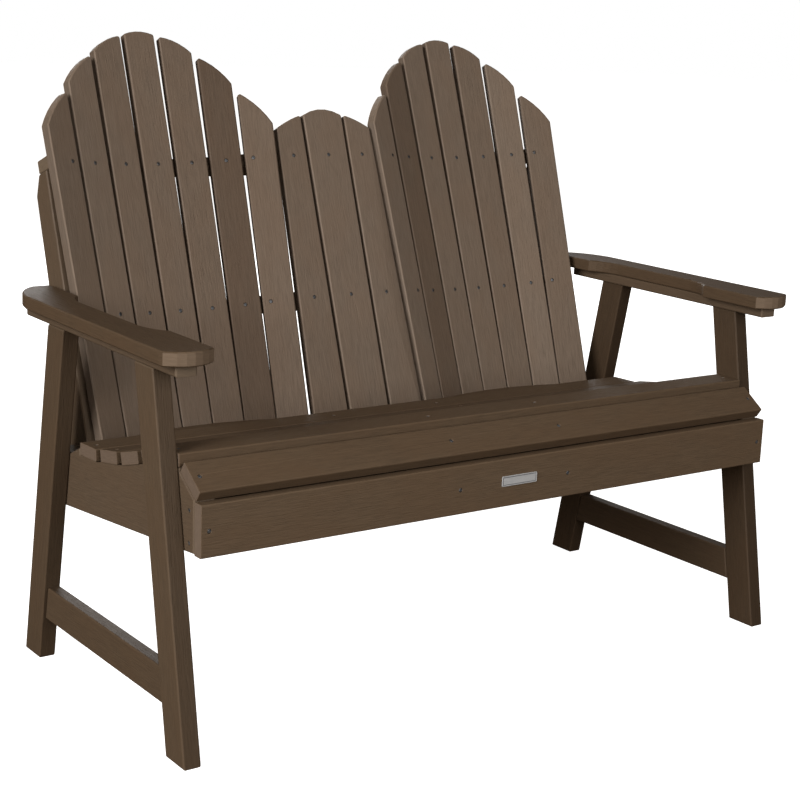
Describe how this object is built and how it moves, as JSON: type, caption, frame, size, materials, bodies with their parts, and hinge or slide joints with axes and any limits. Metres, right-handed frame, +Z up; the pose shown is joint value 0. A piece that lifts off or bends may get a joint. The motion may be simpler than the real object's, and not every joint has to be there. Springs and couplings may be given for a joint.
{
  "type": "garden bench",
  "caption": "Two-person slatted garden bench with splayed legs, wide armrests, a dished seat and a reclined fan back that rises in two arches.",
  "frame": {"origin": "middle of the bounding box on the floor, under the feet", "axes": "+X along the length of the bench (to the right seen from the front), +Y towards the back, +Z up; the front faces -Y"},
  "size_m": [1.372, 0.788, 1.1272],
  "materials": {
    "leg_lumber": "matte, fine embossed grain",
    "frame_lumber": "matte, fine embossed grain",
    "arm_lumber": "matte, fine embossed grain",
    "seat_lumber": "matte, fine embossed grain",
    "back_lumber": "matte, fine embossed grain",
    "screw_steel": "dark satin",
    "plate_metal": "satin"
  },
  "bodies": {
    "root": {"front_leg_left": "leg_lumber", "rear_leg_left": "leg_lumber", "side_stretcher_left": "leg_lumber", "arm_support_rail_left": "frame_lumber", "seat_rail_left": "frame_lumber", "middle_seat_rail_left": "frame_lumber", "back_post_left": "frame_lumber", "armrest_left": "arm_lumber", "seat_rail_screw_left_upper": "screw_steel", "seat_rail_screw_left_lower": "screw_steel", "front_leg_right": "leg_lumber", "rear_leg_right": "leg_lumber", "side_stretcher_right": "leg_lumber", "arm_support_rail_right": "frame_lumber", "seat_rail_right": "frame_lumber", "middle_seat_rail_right": "frame_lumber", "back_post_right": "frame_lumber", "armrest_right": "arm_lumber", "seat_rail_screw_right_upper": "screw_steel", "seat_rail_screw_right_lower": "screw_steel", "front_crossbar": "frame_lumber", "lower_back_support": "frame_lumber", "middle_back_support": "frame_lumber", "upper_back_support": "frame_lumber", "front_apron": "seat_lumber", "slanted_front_slat": "seat_lumber", "rear_seat_slat": "seat_lumber", "seat_slat_1": "seat_lumber", "seat_slat_2": "seat_lumber", "seat_slat_3": "seat_lumber", "seat_slat_4": "seat_lumber", "seat_slat_5": "seat_lumber", "back_slat_01": "back_lumber", "back_slat_02": "back_lumber", "back_slat_03": "back_lumber", "back_slat_04": "back_lumber", "back_slat_05": "back_lumber", "back_slat_06": "back_lumber", "back_slat_07": "back_lumber", "back_slat_08": "back_lumber", "back_slat_09": "back_lumber", "back_slat_10": "back_lumber", "back_slat_11": "back_lumber", "back_slat_12": "back_lumber", "back_slat_13": "back_lumber", "back_slat_14": "back_lumber", "back_slat_15": "back_lumber", "back_slat_16": "back_lumber", "back_slat_17": "back_lumber", "apron_screw_1": "screw_steel", "front_slat_screw_1": "screw_steel", "apron_screw_2": "screw_steel", "front_slat_screw_2": "screw_steel", "apron_screw_3": "screw_steel", "front_slat_screw_3": "screw_steel", "apron_screw_4": "screw_steel", "front_slat_screw_4": "screw_steel", "name_plate": "plate_metal"}
  },
  "joints": []
}
